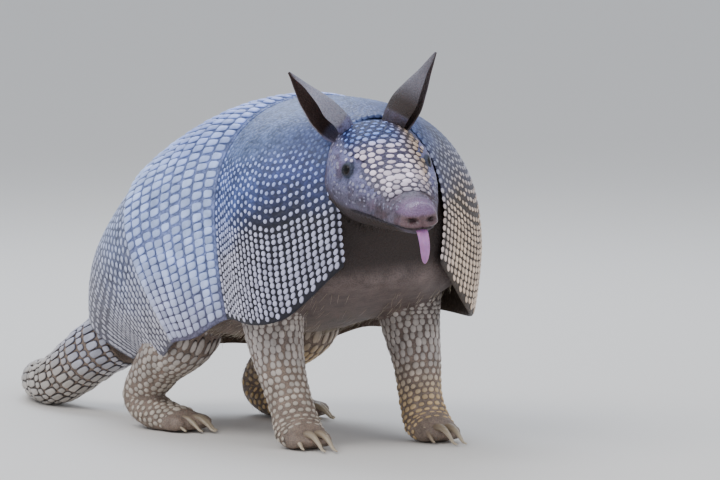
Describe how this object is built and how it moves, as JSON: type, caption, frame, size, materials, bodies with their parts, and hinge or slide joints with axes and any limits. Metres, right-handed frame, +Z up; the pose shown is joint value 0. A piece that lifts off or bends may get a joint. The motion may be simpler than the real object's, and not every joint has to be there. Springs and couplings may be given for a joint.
{
  "type": "nine-banded armadillo",
  "caption": "Life-size nine-banded armadillo standing with its head lowered and its tongue out, as a still museum model.",
  "frame": {"origin": "on the floor, below the middle of the whole model's box", "axes": "+X the way the animal heads, +Y its left, +Z up"},
  "size_m": [0.5328, 0.1926, 0.1998],
  "materials": {
    "shell_plate": "slate blue-grey bony scutes, pale cream raised dots down the flanks, satin",
    "band_plate": "lilac-grey bands with pale elongated scutes, satin",
    "head_plate": "pale pinkish-white polygonal scutes with dark blue-grey gaps, satin",
    "tail_plate": "grey rings of small scutes, satin",
    "skin": "fine wrinkled skin, lilac-grey on the face, dark brown on the throat and belly, matte",
    "ear_skin": "thin leathery skin, dark brown inside the ear, pale grey and pebbled outside",
    "eye": "wet near-black",
    "tongue": "moist pink-violet",
    "claw": "worn horn, satin"
  },
  "bodies": {
    "root": {"scapular_shield": "shell_plate", "band_1": "band_plate", "band_2": "band_plate", "band_3": "band_plate", "band_4": "band_plate", "band_5": "band_plate", "band_6": "band_plate", "band_7": "band_plate", "band_8": "band_plate", "band_9": "band_plate", "pelvic_shield": "shell_plate", "trunk": "skin", "head": "skin", "lower_jaw": "skin", "head_shield": "head_plate", "tongue": "tongue", "neck": "skin", "eye_left": "eye", "ear_left": "ear_skin", "eye_right": "eye", "ear_right": "ear_skin", "tail_base": "tail_plate", "tail_middle": "tail_plate", "tail_tip": "tail_plate", "foreleg_left": "skin", "foreleg_left_claw_1": "claw", "foreleg_left_claw_2": "claw", "foreleg_left_claw_3": "claw", "foreleg_left_claw_4": "claw", "foreleg_right": "skin", "foreleg_right_claw_1": "claw", "foreleg_right_claw_2": "claw", "foreleg_right_claw_3": "claw", "foreleg_right_claw_4": "claw", "hindleg_left": "skin", "hindleg_left_claw_1": "claw", "hindleg_left_claw_2": "claw", "hindleg_left_claw_3": "claw", "hindleg_left_claw_4": "claw", "hindleg_left_claw_5": "claw", "hindleg_right": "skin", "hindleg_right_claw_1": "claw", "hindleg_right_claw_2": "claw", "hindleg_right_claw_3": "claw", "hindleg_right_claw_4": "claw", "hindleg_right_claw_5": "claw"}
  },
  "joints": []
}
